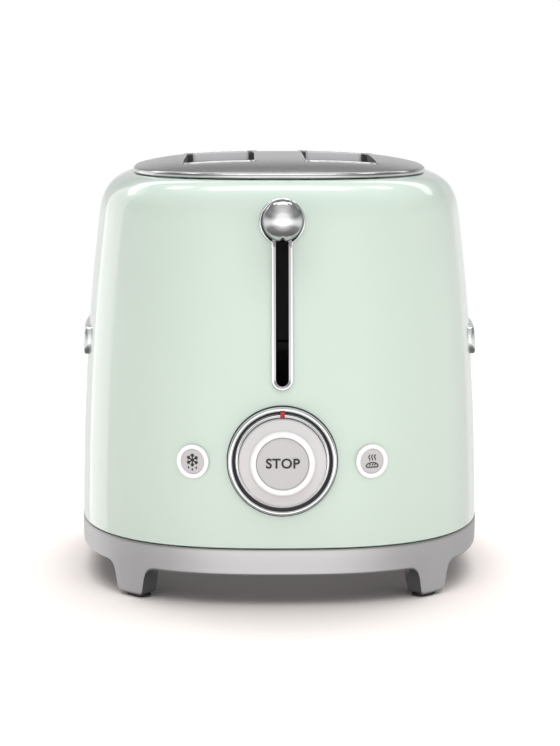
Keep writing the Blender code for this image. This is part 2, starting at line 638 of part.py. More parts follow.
def end_plates(kit):
    front_y = -CHAMBER_HALF_LENGTH
    bottom, top = CHAMBER_BOTTOM_Z, CHAMBER_TOP_Z + SHEET
    foot_y, flange_y = -0.1020, -0.0920
    outline = [(front_y, bottom - SHEET), (foot_y, bottom - SHEET), (foot_y, bottom)]
    outline += [(front_y - SHEET, bottom), (front_y - SHEET, top), (flange_y, top)]
    outline += [(flange_y, top + SHEET), (front_y, top + SHEET)]
    sheet = extruded("front_end_plate", outline, -CHAMBER_HALF_WIDTH, CHAMBER_HALF_WIDTH, 0)
    plate = kit.add("front_end_plate", sheet, "sheet", smooth=False)
    for side, label in ((-1, "left"), (1, "right")):
        low = (side * SLOT_X - 0.0040, front_y - 0.0050, 0.0460)
        high = (side * SLOT_X + 0.0040, front_y + 0.0050, 0.1310)
        combine(plate, kit.cutter("cut_shelf_" + label, box("cut_shelf_" + label, low, high)))
    low = (-CHAMBER_HALF_WIDTH, CHAMBER_HALF_LENGTH, bottom - SHEET)
    high = (CHAMBER_HALF_WIDTH, CHAMBER_HALF_LENGTH + SHEET, top + SHEET)
    kit.add("rear_end_plate", box("rear_end_plate", low, high), "sheet", smooth=False)
    for side, label in ((-1, "left"), (1, "right")):
        sides = sorted((side * 0.0590, side * 0.0600))
        low = (sides[0], front_y + 0.0005, bottom + 0.0020)
        high = (sides[1], CHAMBER_HALF_LENGTH - 0.0005, CHAMBER_TOP_Z - 0.0020)
        kit.add("reflector_" + label, box("reflector_" + label, low, high), "sheet", smooth=False)


def heater_boards(kit):
    """Mica boards with the heating ribbon as low ribs on the side that faces the bread."""
    low_z, high_z, ribs = 0.0500, 0.1700, 11
    pitch = (high_z - low_z) / ribs
    board = 0.0010
    for side, side_label in ((-1, "left"), (1, "right")):
        for place_label, board_x, towards in (("outer", 0.0540, -1), ("inner", 0.0070, 1)):
            face_x, rib_x = board_x + towards * board, board_x + towards * (board + 0.0007)
            outline = [(side * board_x, high_z), (side * board_x, low_z), (side * face_x, low_z)]
            for rib in range(ribs):
                start = low_z + pitch * (rib + 0.35)
                end = low_z + pitch * (rib + 0.65)
                outline += [(side * face_x, start), (side * rib_x, start)]
                outline += [(side * rib_x, end), (side * face_x, end)]
            outline += [(side * face_x, high_z)]
            name = "heater_" + place_label + "_" + side_label

            def lift(y, pairs=outline):
                return [(x, y, z) for x, z in pairs]
            kit.add(name, loft(name, [lift(-0.0700), lift(0.0700)]), "mica", smooth=False)


def lattice(name, half_depth, columns, rows):
    """Flat wire grid in the YZ plane. Even columns and rows of the break points are wire."""
    def solid(column, row):
        inside = 0 <= column < len(columns) - 1 and 0 <= row < len(rows) - 1
        return inside and (column % 2 == 0 or row % 2 == 0)
    build = bmesh.new()
    corners = {}

    def corner(column, row, side):
        key = (column, row, side)
        if key not in corners:
            corners[key] = build.verts.new((side * half_depth, columns[column], rows[row]))
        return corners[key]
    for column in range(len(columns) - 1):
        for row in range(len(rows) - 1):
            if not solid(column, row):
                continue
            loop = ((column, row), (column + 1, row), (column + 1, row + 1), (column, row + 1))
            beside = ((column, row - 1), (column + 1, row), (column, row + 1), (column - 1, row))
            for side in (-1, 1):
                build.faces.new([corner(*pair, side) for pair in loop])
            for index, neighbour in enumerate(beside):
                if not solid(*neighbour):
                    first, second = loop[index], loop[(index + 1) % 4]
                    ends = [corner(*first, -1), corner(*second, -1), corner(*second, 1), corner(*first, 1)]
                    build.faces.new(ends)
    bmesh.ops.recalc_face_normals(build, faces=build.faces)
    mesh = bpy.data.meshes.new(name)
    build.to_mesh(mesh)
    build.free()
    return mesh


def wire_breaks(low, high, wires, wire):
    found = []
    for index in range(wires):
        start = low + (high - low - wire) * index / (wires - 1)
        found += [start, start + wire]
    return found


def bread_guards(kit):
    columns = wire_breaks(-0.0680, 0.0680, 8, 0.0020)
    rows = wire_breaks(0.0520, 0.1840, 3, 0.0020)
    for side, side_label in ((-1, "left"), (1, "right")):
        for place_label, guard_x in (("outer", 0.0478), ("inner", 0.0110)):
            name = "bread_guard_" + place_label + "_" + side_label
            place = Matrix.Translation((side * guard_x, 0.0, 0.0))
            kit.add(name, lattice(name, 0.0008, columns, rows), "steel", place, smooth=False)


def electrics(kit):
    board = box("control_board", (-0.0520, BOARD_Y, 0.0380), (0.0520, BOARD_Y + 0.0016, 0.0950))
    kit.add("control_board", board, "board", smooth=False)
    outline = [(-0.0090, 0.0343), (0.0090, 0.0343), (0.0090, 0.0402), (0.0040, 0.0402), (0.0040, 0.0370)]
    outline += [(-0.0040, 0.0370), (-0.0040, 0.0402), (-0.0090, 0.0402)]
    kit.add("latch_magnet", extruded("latch_magnet", outline, -0.1000, -0.0905, 1), "dark", smooth=False)


def crumb_tray(kit):
    wall = 0.0010
    low_y, high_y = -0.0740, TRAY_REAR_Y

    def ring(shrink, height):
        half_x = TRAY_HALF_WIDTH - shrink
        corners = [(-half_x, low_y + shrink), (half_x, low_y + shrink), (half_x, high_y - shrink)]
        corners.append((-half_x, high_y - shrink))
        return [(x, y, height) for x, y in corners]
    rings = [ring(0.0, TRAY_BOTTOM_Z), ring(0.0, TRAY_TOP_Z), ring(wall, TRAY_TOP_Z)]
    rings.append(ring(wall, TRAY_BOTTOM_Z + wall))
    kit.add("crumb_tray", loft("crumb_tray", rings), "sheet", smooth=False)
    edge = TRAY_DOOR_HALF - 0.0005
    outline = []
    for step in range(17):
        x = edge - 2.0 * edge * step / 16
        share = 1.0 - (abs(x) / HALF_WIDTH) ** CORNER_POWER
        outline.append((x, HALF_LENGTH * share ** (1.0 / CORNER_POWER)))
    outline += [(-edge, high_y + GAP), (edge, high_y + GAP)]
    door = extruded("crumb_tray_handle", outline, TRAY_BOTTOM_Z - 0.0007, TRAY_TOP_Z + 0.0006, 2)
    kit.add("crumb_tray_handle", door, "steel")


def main():
    clear_scene()
    kit = Kit()
    body_shell(kit)
    top_plate(kit)
    slot_collars(kit)
    base_skirt(kit)
    lever_bezel(kit)
    dial_bezel(kit)
    side_trims(kit)
    cord_gland(kit)
    lever(kit)
    bread_carriage(kit)
    return_spring(kit)
    dial(kit)
    function_buttons(kit)
    end_plates(kit)
    heater_boards(kit)
    bread_guards(kit)
    electrics(kit)
    crumb_tray(kit)


main()
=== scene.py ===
"""Looks of the two-slot pop-up toaster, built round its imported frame. Metres, +Z up, control end at -Y."""
import json
import math

import bmesh
import bpy
import numpy as np
from mathutils import Matrix, Vector


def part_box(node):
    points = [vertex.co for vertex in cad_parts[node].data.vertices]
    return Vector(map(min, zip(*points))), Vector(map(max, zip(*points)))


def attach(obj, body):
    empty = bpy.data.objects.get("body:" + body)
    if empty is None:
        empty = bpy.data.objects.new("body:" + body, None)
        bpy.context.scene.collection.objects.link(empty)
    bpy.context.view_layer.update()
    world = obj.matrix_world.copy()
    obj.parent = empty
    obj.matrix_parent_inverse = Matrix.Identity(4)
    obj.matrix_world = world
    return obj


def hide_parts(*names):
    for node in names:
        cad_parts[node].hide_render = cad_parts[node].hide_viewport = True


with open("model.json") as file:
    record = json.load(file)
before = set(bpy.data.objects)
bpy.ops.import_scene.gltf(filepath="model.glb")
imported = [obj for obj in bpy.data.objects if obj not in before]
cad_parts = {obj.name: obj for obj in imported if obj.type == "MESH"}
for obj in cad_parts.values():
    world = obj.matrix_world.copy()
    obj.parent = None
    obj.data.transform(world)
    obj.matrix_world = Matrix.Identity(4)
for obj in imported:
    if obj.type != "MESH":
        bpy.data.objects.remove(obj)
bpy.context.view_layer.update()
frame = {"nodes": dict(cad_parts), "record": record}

# The body's plan and upright profile are those of the CAD; the plate's dome is 0.4 mm flatter
HALF_WIDTH, HALF_LENGTH, CORNER_POWER, END_LEAN = 0.0975, 0.146, 2.65, 1.216
WALL_CURVE = ((0.0002, 0.0274), (0.0005, 0.097), (0.0050, 0.142), (0.0092, 0.177))
SHOULDER_CURVE = ((0.0092, 0.177), (0.0103, 0.1865), (0.0155, 0.1932), (0.0255, 0.1944))
RIM_Z = WALL_CURVE[0][1]
PLATE_INSET, PLATE_BOTTOM_Z, PLATE_EDGE_Z, DOME_RISE, DOME_POWER = 0.0255, 0.1949, 0.1970, 0.0051, 4.0
SLOT_X, SLOT_HALF_WIDTH, SLOT_HALF_LENGTH, SLOT_CORNER = 0.0294, 0.0172, 0.0680, 0.0050
SKIRT_TOP_Z, SKIRT_BOTTOM_Z, FOOT_BOTTOM_Z, FOOT_X = 0.0270, 0.0150, 0.0015, 0.0722

# Places read from the frame
skirt_low, skirt_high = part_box("base_skirt")
MIDDLE_Y = (skirt_low.y + skirt_high.y) / 2.0
ball_low, ball_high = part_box("lever_knob")
BALL_CENTRE = (ball_low + ball_high) / 2.0
BALL_RADIUS = (ball_high.x - ball_low.x) / 2.0
dial_low, dial_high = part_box("dial_bezel")
DIAL_Z = (dial_low.z + dial_high.z) / 2.0
button_low, button_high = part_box("reheat_bezel")
BUTTON_Z = (button_low.z + button_high.z) / 2.0

# The function buttons' distance from the middle, along the front wall's width
BUTTON_X = 0.0407


# ---------------------------------------------------------------- shape helpers
def bezier(curve, share):
    rest = 1.0 - share
    weights = (rest ** 3, 3 * rest ** 2 * share, 3 * rest * share ** 2, share ** 3)
    return tuple(sum(w * p[axis] for w, p in zip(weights, curve)) for axis in range(2))


def body_profile(wall_steps=36, shoulder_steps=26):
    wall = [bezier(WALL_CURVE, step / wall_steps) for step in range(wall_steps + 1)]
    return wall + [bezier(SHOULDER_CURVE, step / shoulder_steps) for step in range(1, shoulder_steps + 1)]


PROFILE = body_profile()
PROFILE_INSETS = [inset for inset, _ in PROFILE]
PROFILE_HEIGHTS = [height for _, height in PROFILE]


def inset_at(height):
    return float(np.interp(height, PROFILE_HEIGHTS, PROFILE_INSETS))


def end_distance(x, height):
    inset = inset_at(height)
    share = 1.0 - (abs(x) / (HALF_WIDTH - inset)) ** CORNER_POWER
    return (HALF_LENGTH - END_LEAN * inset) * share ** (1.0 / CORNER_POWER)


def side_distance(y, height):
    inset = inset_at(height)
    share = 1.0 - (abs(y) / (HALF_LENGTH - END_LEAN * inset)) ** CORNER_POWER
    return (HALF_WIDTH - inset) * share ** (1.0 / CORNER_POWER)


def outline_point(half_x, half_y, angle):
    cosine, sine = math.cos(angle), math.sin(angle)
    x = half_x * math.copysign(abs(cosine) ** (2.0 / CORNER_POWER), cosine)
    y = half_y * math.copysign(abs(sine) ** (2.0 / CORNER_POWER), sine)
    return x, y


def outline_table(samples=4000):
    """Angles round the base rim and the distance along it at each."""
    angles = np.linspace(0.0, 2.0 * math.pi, samples + 1)
    points = np.array([outline_point(HALF_WIDTH, HALF_LENGTH, angle) for angle in angles])
    steps = np.hypot(*np.diff(points, axis=0).T)
    return angles, np.concatenate([[0.0], np.cumsum(steps)])


RIM_ANGLES, RIM_DISTANCES = outline_table()
RIM_LENGTH = float(RIM_DISTANCES[-1])


def even_angles(count):
    return np.interp(np.arange(count) * RIM_LENGTH / count, RIM_DISTANCES, RIM_ANGLES)


def wall_ring(angles, inset, height):
    half_x, half_y = HALF_WIDTH - inset, HALF_LENGTH - END_LEAN * inset
    ring = []
    for angle in angles:
        x, y = outline_point(half_x, half_y, angle)
        ring.append((x, y + MIDDLE_Y, height))
    return ring


def make_object(name, mesh, looks, smooth=True, sharp=35.0):
    piece = bpy.data.objects.new(name, mesh)
    bpy.context.collection.objects.link(piece)
    mesh.materials.append(looks)
    if smooth:
        mesh.shade_smooth()
        mesh.set_sharp_from_angle(angle=math.radians(sharp))
    return piece


def mesh_from(name, points, faces):
    mesh = bpy.data.meshes.new(name)
    build = bmesh.new()
    corners = [build.verts.new(point) for point in points]
    for face in faces:
        build.faces.new([corners[index] for index in face])
    bmesh.ops.recalc_face_normals(build, faces=build.faces)
    build.to_mesh(mesh)
    build.free()
    return mesh


def loft(name, rings, wrap=False):
    """Closed mesh through rings of equal count: capped at both ends, or wrapped into a tube."""
    count = len(rings[0])
    points = [point for ring in rings for point in ring]
    faces = []
    for level in range(len(rings) if wrap else len(rings) - 1):
        low, high = level * count, ((level + 1) % len(rings)) * count
        for step in range(count):
            after = (step + 1) % count
            faces.append((low + step, low + after, high + after, high + step))
    if not wrap:
        faces.append(tuple(range(count)))
        faces.append(tuple(range(len(points) - count, len(points))))
    return mesh_from(name, points, faces)


def arc(centre, radius, start, end, steps):
    found = []
    for step in range(steps + 1):
        angle = math.radians(start + (end - start) * step / steps)
        found.append((centre[0] + radius * math.cos(angle), centre[1] + radius * math.sin(angle)))
    return found


def rounded_path(corners, steps=5):
    """Polyline through (a, b, radius) corners, with each corner of radius above zero rounded."""
    found = []
    count = len(corners)
    for index, (a, b, radius) in enumerate(corners):
        here = Vector((a, b))
        if radius <= 0.0 or index in (0, count - 1):
            found.append((a, b))
            continue
        before = (Vector(corners[index - 1][:2]) - here).normalized()
        after = (Vector(corners[index + 1][:2]) - here).normalized()
        half = before.angle(after) / 2.0
        reach = radius / math.tan(half)
        start, end = here + before * reach, here + after * reach
        for step in range(steps + 1):
            share = step / steps
            point = start * (1 - share) ** 2 + here * 2 * share * (1 - share) + end * share ** 2
            found.append((point.x, point.y))
    return found


def turned(name, profile, matrix, looks, count=96, wrap=False, sharp=35.0):
    rings = []
    for radius, height in profile:
        ring = []
        for step in range(count):
            angle = 2.0 * math.pi * step / count
            ring.append(matrix @ Vector((radius * math.cos(angle), radius * math.sin(angle), height)))
        rings.append(ring)
    return make_object(name, loft(name, rings, wrap), looks, sharp=sharp)


def front_frame(x, height, lift=0.0):
    """Matrix on the front wall with local +Z along the outward normal and local +Y up."""
    step = 0.0005
    slope = (end_distance(x + step, height) - end_distance(x - step, height)) / (2.0 * step)
    outward = Vector((-slope, -1.0, 0.0)).normalized()
    up = Vector((0.0, 0.0, 1.0))
    turn = Matrix((up.cross(outward), up, outward)).transposed().to_4x4()
    place = Vector((x, MIDDLE_Y - end_distance(x, height), height)) + outward * lift
    return Matrix.Translation(place) @ turn


# ---------------------------------------------------------------- materials
def new_material(name, colour, roughness, metallic=0.0, **sockets):
    looks = bpy.data.materials.new(name)
    looks.use_nodes = True
    shader = looks.node_tree.nodes["Principled BSDF"]
    shader.inputs["Base Color"].default_value = (*colour, 1.0)
    shader.inputs["Roughness"].default_value = roughness
    shader.inputs["Metallic"].default_value = metallic
    for socket, value in sockets.items():
        shader.inputs[socket.replace("_", " ")].default_value = value
    return looks


def varied(looks, scale=(40.0, 40.0, 40.0), colour_spread=0.04, rough_spread=0.04, bump=0.0, detail=4.0):
    """Adds noise in object space to the colour, the roughness and, if bump is set, the surface."""
    tree = looks.node_tree
    nodes, links = tree.nodes, tree.links
    shader = nodes["Principled BSDF"]
    place = nodes.new("ShaderNodeTexCoord")
    stretch = nodes.new("ShaderNodeMapping")
    stretch.inputs["Scale"].default_value = scale
    links.new(place.outputs["Object"], stretch.inputs["Vector"])
    noise = nodes.new("ShaderNodeTexNoise")
    noise.inputs["Scale"].default_value = 1.0
    noise.inputs["Detail"].default_value = detail
    links.new(stretch.outputs["Vector"], noise.inputs["Vector"])
    base = Vector(shader.inputs["Base Color"].default_value[:3])
    tint = nodes.new("ShaderNodeMix")
    tint.data_type = "RGBA"
    tint.inputs["A"].default_value = (*(base * (1.0 - colour_spread)), 1.0)
    tint.inputs["B"].default_value = (*(base * (1.0 + colour_spread)), 1.0)
    links.new(noise.outputs["Fac"], tint.inputs["Factor"])
    links.new(tint.outputs["Result"], shader.inputs["Base Color"])
    rough = shader.inputs["Roughness"].default_value
    spread = nodes.new("ShaderNodeMapRange")
    spread.inputs["To Min"].default_value = max(rough - rough_spread, 0.0)
    spread.inputs["To Max"].default_value = rough + rough_spread
    links.new(noise.outputs["Fac"], spread.inputs["Value"])
    links.new(spread.outputs["Result"], shader.inputs["Roughness"])
    if bump:
        relief = nodes.new("ShaderNodeBump")
        relief.inputs["Strength"].default_value = 1.0
        relief.inputs["Distance"].default_value = bump
        links.new(noise.outputs["Fac"], relief.inputs["Height"])
        links.new(relief.outputs["Normal"], shader.inputs["Normal"])
    return looks


PAINT_GREEN = (0.575, 0.680, 0.605)
paint = new_material("gloss_green_paint", PAINT_GREEN, 0.30, Coat_Weight=1.0, Coat_Roughness=0.03,
                     Coat_IOR=1.42, Specular_IOR_Level=0.25)
varied(paint, (9.0, 9.0, 9.0), 0.008, 0.02)
brushed_plate = new_material("brushed_steel_plate", (0.64, 0.63, 0.635), 0.17, 1.0)
varied(brushed_plate, (900.0, 12.0, 900.0), 0.03, 0.03, 0.0000005)
satin_skirt = new_material("satin_steel_skirt", (0.56, 0.55, 0.553), 0.44, 0.9)
varied(satin_skirt, (60.0, 60.0, 1800.0), 0.02, 0.03)
ball_chrome = new_material("ball_chrome", (0.84, 0.84, 0.845), 0.16, 1.0,
                           Specular_Tint=(0.05, 0.05, 0.055, 1.0))
varied(ball_chrome, (25.0, 25.0, 25.0), 0.01, 0.015)
# Near-black steel used as painted shade on the skirt's inner faces and on the slot walls
painted_shade_steel = new_material("painted_shade_inner_steel", (0.10, 0.10, 0.105), 0.55, 0.6)
varied(painted_shade_steel, (200.0, 200.0, 200.0), 0.08, 0.05)
chrome = new_material("polished_chrome", (0.86, 0.86, 0.87), 0.04, 1.0)
varied(chrome, (25.0, 25.0, 25.0), 0.01, 0.015)
knob_white = new_material("gloss_white_plastic", (0.61, 0.60, 0.605), 0.22, Coat_Weight=0.3,
                          Coat_Roughness=0.05)
varied(knob_white, (30.0, 30.0, 30.0), 0.006, 0.03)
# White of the function buttons' rings; on the dial knob's raised rim it is a painted highlight, a brighter
# copy of the knob's white plastic
ring_white_and_highlight = new_material("white_ring_and_painted_highlight", (0.93, 0.93, 0.93), 0.18, Coat_Weight=0.3, Coat_Roughness=0.05)
varied(ring_white_and_highlight, (30.0, 30.0, 30.0), 0.004, 0.02)
button_grey = new_material("satin_grey_plastic", (0.54, 0.53, 0.535), 0.40)
varied(button_grey, (500.0, 500.0, 500.0), 0.015, 0.05)
ink_black = new_material("black_ink", (0.02, 0.02, 0.02), 0.50)
varied(ink_black, (300.0, 300.0, 300.0), 0.10, 0.05)
pointer_red = new_material("red_enamel", (0.42, 0.008, 0.012), 0.30)
varied(pointer_red, (200.0, 200.0, 200.0), 0.05, 0.05)
black_plastic = new_material("black_plastic", (0.012, 0.013, 0.014), 0.45)
varied(black_plastic, (400.0, 400.0, 400.0), 0.15, 0.08, 0.00001)
rubber = new_material("black_rubber", (0.025, 0.025, 0.026), 0.75)
varied(rubber, (600.0, 600.0, 600.0), 0.15, 0.08, 0.00003)
sheet_steel = new_material("plain_sheet_steel", (0.52, 0.52, 0.53), 0.34, 1.0)
varied(sheet_steel, (30.0, 500.0, 500.0), 0.08, 0.08, 0.000006)
wire_steel = new_material("drawn_wire", (0.50, 0.50, 0.51), 0.30, 1.0)
varied(wire_steel, (200.0, 900.0, 200.0), 0.08, 0.06)
mica = new_material("mica_board", (0.50, 0.44, 0.33), 0.55)
varied(mica, (80.0, 80.0, 80.0), 0.18, 0.10, 0.00002)
circuit_green = new_material("circuit_board", (0.03, 0.17, 0.07), 0.35)
varied(circuit_green, (150.0, 150.0, 150.0), 0.12, 0.05)


# ---------------------------------------------------------------- painted body
SHELL_COLUMNS = 260
SHELL_THICKNESS = 0.0012
SHELL_OPENING_INSET = 0.034


def tucked(profile, depth):
    """The profile moved inwards by depth, square to itself."""
    found = []
    for index, (inset, height) in enumerate(profile):
        before, after = profile[max(index - 1, 0)], profile[min(index + 1, len(profile) - 1)]
        run, rise = after[0] - before[0], after[1] - before[1]
        length = math.hypot(run, rise)
        found.append((inset + depth * rise / length, height - depth * run / length))
    return found


def hidden_cutter(name, mesh):
    cutter = bpy.data.objects.new(name, mesh)
    bpy.context.collection.objects.link(cutter)
    return cutter


def cut(piece, cutters):
    """Applies the cuts to the piece's mesh and removes the cutters."""
    for cutter in cutters:
        step = piece.modifiers.new(cutter.name, "BOOLEAN")
        step.operation = "DIFFERENCE"
        step.solver = "EXACT"
        step.object = cutter
    depsgraph = bpy.context.evaluated_depsgraph_get()
    mesh = bpy.data.meshes.new_from_object(piece.evaluated_get(depsgraph))
    piece.modifiers.clear()
    piece.data = mesh
    for cutter in cutters:
        bpy.data.objects.remove(cutter, do_unlink=True)


def round_cutter(name, radius, matrix, low, high, count=64):
    rings = []
    for height in (low, high):
        ring = []
        for step in range(count):
            angle = 2.0 * math.pi * step / count
            ring.append(matrix @ Vector((radius * math.cos(angle), radius * math.sin(angle), height)))
        rings.append(ring)
    return hidden_cutter(name, loft(name, rings))


def slit_outline(half_width, low_z, high_z, steps=12):
    lower = arc((0.0, low_z + half_width), half_width, 180.0, 360.0, steps)
    upper = arc((0.0, high_z - half_width), half_width, 0.0, 180.0, steps)
    return lower + upper


SLIT_HALF_WIDTH, SLIT_BOTTOM_Z, SLIT_TOP_Z = 0.00275, 0.1020, 0.1845


def make_body():
    outer = body_profile()
    outer[0] = (outer[0][0] + 0.0006, RIM_Z)
    outer.insert(1, (WALL_CURVE[0][0] + 0.0001, RIM_Z + 0.0004))
    inner = tucked(outer, SHELL_THICKNESS)
    flange_z = outer[-1][1] - 0.0002
    section = outer + [(0.029, flange_z), (SHELL_OPENING_INSET, flange_z)]
    section += [(SHELL_OPENING_INSET, flange_z - SHELL_THICKNESS)] + inner[::-1]
    section[-1] = (inner[0][0], RIM_Z)
    angles = even_angles(SHELL_COLUMNS)
    rings = [wall_ring(angles, inset, height) for inset, height in section]
    body = make_object("painted_body", loft("painted_body", rings, wrap=True), paint, sharp=40.0)
    loops = []
    slit = slit_outline(0.0031, SLIT_BOTTOM_Z - 0.0006, SLIT_TOP_Z + 0.0004)
    for y in (MIDDLE_Y - 0.160, MIDDLE_Y - 0.110):
        loops.append([(x, y, z) for x, z in slit])
    cutters = [hidden_cutter("lever_cut", loft("lever_cut", loops))]
    facing = Matrix.Translation((0.0, MIDDLE_Y, DIAL_Z)) @ Matrix.Rotation(math.radians(90.0), 4, "X")
    cutters.append(round_cutter("dial_cut", 0.0055, facing, 0.120, 0.160))
    for side in (-1, 1):
        name = "button_cut_left" if side < 0 else "button_cut_right"
        cutters.append(round_cutter(name, 0.0066, front_frame(side * BUTTON_X, BUTTON_Z), -0.010, 0.010))
    gland_low, gland_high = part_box("cord_gland")
    gland = (gland_low + gland_high) / 2.0
    backing = Matrix.Translation((gland.x, MIDDLE_Y, gland.z)) @ Matrix.Rotation(math.radians(-90.0), 4, "X")
    cutters.append(round_cutter("gland_cut", 0.0064, backing, 0.120, 0.160))
    cut(body, cutters)
    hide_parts("body_shell")
    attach(body, "chassis")


# ---------------------------------------------------------------- steel top plate
PLATE_HALF_X = HALF_WIDTH - PLATE_INSET
PLATE_HALF_Y = HALF_LENGTH - END_LEAN * PLATE_INSET


def dome_z(x, y):
    """Height of the plate's upper face: flat in the middle and steeper towards its edge."""
    across, along = abs(x / PLATE_HALF_X) ** CORNER_POWER, abs(y / PLATE_HALF_Y) ** CORNER_POWER
    reach = (across + along) ** (1 / CORNER_POWER)
    return PLATE_EDGE_Z + DOME_RISE * (1.0 - reach ** DOME_POWER)


def plate_ring(angles, share, drop):
    ring = []
    for angle in angles:
        x, y = outline_point(PLATE_HALF_X * share, PLATE_HALF_Y * share, angle)
        ring.append((x, y + MIDDLE_Y, dome_z(x, y) - drop))
    return ring


def slot_loop(grow, straight=0.004, corner_steps=10):
    """Closed outline of a bread slot grown by grow, round its own middle."""
    found = []
    run_x, run_y = SLOT_HALF_WIDTH - SLOT_CORNER, SLOT_HALF_LENGTH - SLOT_CORNER
    sides = ((1, 1, -1, 0), (-1, 1, 0, -1), (-1, -1, 1, 0), (1, -1, 0, 1))
    for turn, (side_x, side_y, along_x, along_y) in enumerate(sides):
        centre = (side_x * run_x, side_y * run_y)
        found += arc(centre, SLOT_CORNER + grow, 90.0 * turn, 90.0 * turn + 90.0, corner_steps)
        run = 2.0 * (run_x if along_x else run_y)
        last_x, last_y = found[-1]
        steps = max(2, round(run / straight))
        for step in range(1, steps):
            found.append((last_x + along_x * run * step / steps, last_y + along_y * run * step / steps))
    return found


def make_top_plate():
    angles = even_angles(220)
    shares = [0.06 + 0.90 * step / 16 for step in range(17)]
    rings = [plate_ring(angles, share, 0.0) for share in shares]
    rings += [plate_ring(angles, 0.980, 0.0), plate_ring(angles, 0.990, 0.00008)]
    rings += [plate_ring(angles, 0.9965, 0.0004), plate_ring(angles, 0.9995, 0.0010)]
    for share, height in ((0.9995, 0.0006), (0.997, 0.0001), (0.993, 0.0), (0.975, 0.0)):
        rings.append([(x, y, PLATE_BOTTOM_Z + height) for x, y, _ in plate_ring(angles, share, 0.0)])
    rings += [plate_ring(angles, share, 0.0014) for share in shares[::-1]]
    plate = make_object("steel_top_plate", loft("steel_top_plate", rings), brushed_plate, sharp=50.0)
    cutters = []
    for side in (-1, 1):
        outline = slot_loop(0.0013)
        loops = [[(x + side * SLOT_X, y + MIDDLE_Y, z) for x, y in outline] for z in (0.180, 0.215)]
        cutters.append(hidden_cutter("slot_cut", loft("slot_cut", loops)))
    cut(plate, cutters)
    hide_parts("top_plate")
    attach(plate, "chassis")


def make_slot_collars():
    """Steel collar of each bread slot: a rolled lip on the plate and a wall that goes down, with painted
    shade on the wall's faces except those facing -Y, which keep plain steel.

    A section's entry is (growth, lift above the dome, height), and a lift of None takes the height instead.
    """
    section = [(0.0, None, 0.1882), (0.0, -0.0006, 0.0), (0.0001, -0.0001, 0.0), (0.0004, 0.0002, 0.0)]
    section += [(0.0008, 0.0004, 0.0), (0.0012, 0.0004, 0.0), (0.0016, 0.0002, 0.0), (0.0018, 0.0, 0.0)]
    section += [(0.0017, -0.0001, 0.0), (0.0011, -0.0002, 0.0), (0.0007, -0.0008, 0.0)]
    section += [(0.0007, None, 0.1882)]
    for side, label in ((-1, "left"), (1, "right")):
        rings = []
        for grow, lift, height in section:
            ring = []
            for x, y in slot_loop(grow):
                x += side * SLOT_X
                ring.append((x, y + MIDDLE_Y, height if lift is None else dome_z(x, y) + lift))
            rings.append(ring)
        name = "rolled_collar_" + label
        collar = make_object(name, loft(name, rings, wrap=True), brushed_plate, sharp=50.0)
        collar.data.materials.append(painted_shade_steel)
        collar.data.materials.append(sheet_steel)
        for face in collar.data.polygons:
            # Below the lip: painted shade steel on faces not facing -Y, plain sheet steel on faces that do
            deep = face.center.z < dome_z(face.center.x, face.center.y - MIDDLE_Y) - 0.0004
            if deep:
                face.material_index = 1 if face.normal.y > -0.9 else 2
        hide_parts("slot_collar_" + label)
        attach(collar, "chassis")


# ---------------------------------------------------------------- steel base skirt with its feet
FOOT_HALF_LENGTH = 0.0096
FOOT_CORNER = 0.0028
FOOT_FILLET = 0.0075
FOOT_FLARE = 0.0034
FOOT_DEPTH = 0.0105


def foot_edge():
    """(distance from the foot's middle, height) along the lower edge of the skirt, from foot to edge."""
    steep = FOOT_HALF_LENGTH + FOOT_FLARE
    corners = [(0.0, FOOT_BOTTOM_Z, 0.0), (FOOT_HALF_LENGTH, FOOT_BOTTOM_Z, FOOT_CORNER)]
    corners += [(steep, SKIRT_BOTTOM_Z - 0.0002, FOOT_FILLET), (steep + 0.014, SKIRT_BOTTOM_Z - 0.0002, 0.0)]
    return rounded_path(corners, 12)


EDGE_PATH = foot_edge()
EDGE_DISTANCES = [distance for distance, _ in EDGE_PATH]
EDGE_HEIGHTS = [height for _, height in EDGE_PATH]


def foot_centres():
    cosine = (FOOT_X / HALF_WIDTH) ** (CORNER_POWER / 2.0)
    first = math.acos(cosine)
    angles = (first, math.pi - first, math.pi + first, 2.0 * math.pi - first)
    return [float(np.interp(angle, RIM_ANGLES, RIM_DISTANCES)) for angle in angles]


